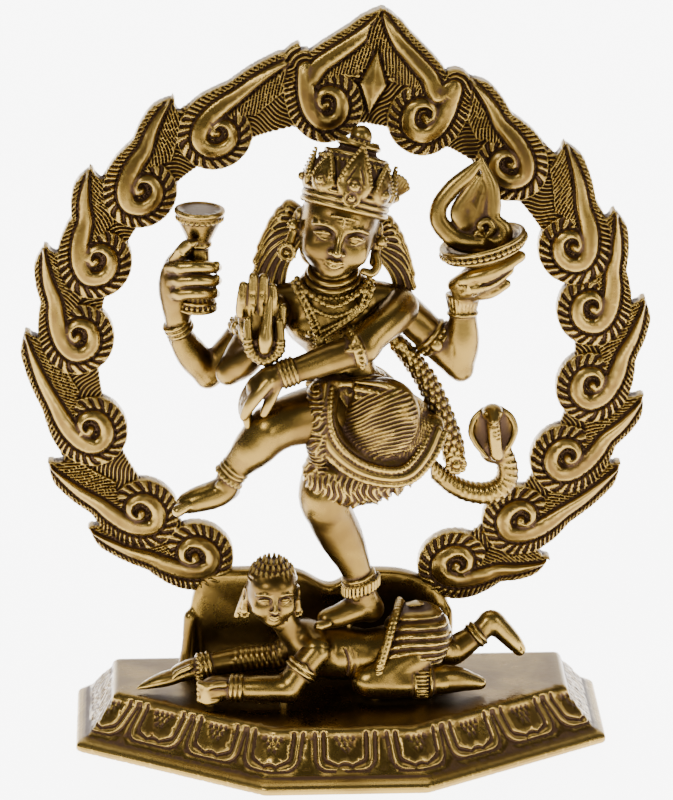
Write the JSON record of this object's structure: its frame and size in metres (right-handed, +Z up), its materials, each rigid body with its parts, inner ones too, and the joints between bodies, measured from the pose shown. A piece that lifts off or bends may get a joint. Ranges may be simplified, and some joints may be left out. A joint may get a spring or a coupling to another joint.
{
  "type": "ornamental statue",
  "caption": "Brass statue of a four-armed dancer on one foot on a lying dwarf, inside an upright ring of flames on a low faceted pedestal.",
  "frame": {"origin": "centre of the pedestal's footprint, on the surface it stands on", "axes": "+Z up, -Y towards the viewer of the dancer's front, +X towards the dancer's left hand side"},
  "size_m": [0.1674, 0.0724, 0.2017],
  "materials": {
    "brass_casting": "antique brass, polished high points and dark brown recesses",
    "brass_ornament": "antique brass, chased, with dark brown in the grooves",
    "fixing": "plain turned brass, dull"
  },
  "bodies": {
    "root": {"pedestal": "brass_casting", "arch_bracket": "brass_casting", "flame_arch": "brass_ornament", "arch_screws": "fixing", "arch_washers": "fixing", "dwarf_screws": "fixing", "dwarf_washers": "fixing", "foot_dowel": "fixing", "elbow_pin": "fixing", "torso": "brass_casting", "head": "brass_casting", "crown": "brass_ornament", "hair_right": "brass_ornament", "hair_left": "brass_ornament", "necklace": "brass_ornament", "rear_right_arm": "brass_casting", "drum": "brass_ornament", "rear_left_arm": "brass_casting", "flame_bowl": "brass_ornament", "bowl_flame": "brass_ornament", "front_right_arm": "brass_casting", "hand_snake": "brass_ornament", "front_left_arm": "brass_casting", "skirt": "brass_ornament", "scarf": "brass_ornament", "cobra": "brass_ornament", "raised_leg": "brass_casting", "standing_leg": "brass_casting", "dwarf_body": "brass_casting", "dwarf_head": "brass_casting", "dwarf_near_arm": "brass_casting", "dwarf_far_arm": "brass_casting", "dwarf_blade": "brass_ornament", "dwarf_cloth": "brass_ornament", "dwarf_near_leg": "brass_casting", "dwarf_far_leg": "brass_casting"}
  },
  "joints": []
}
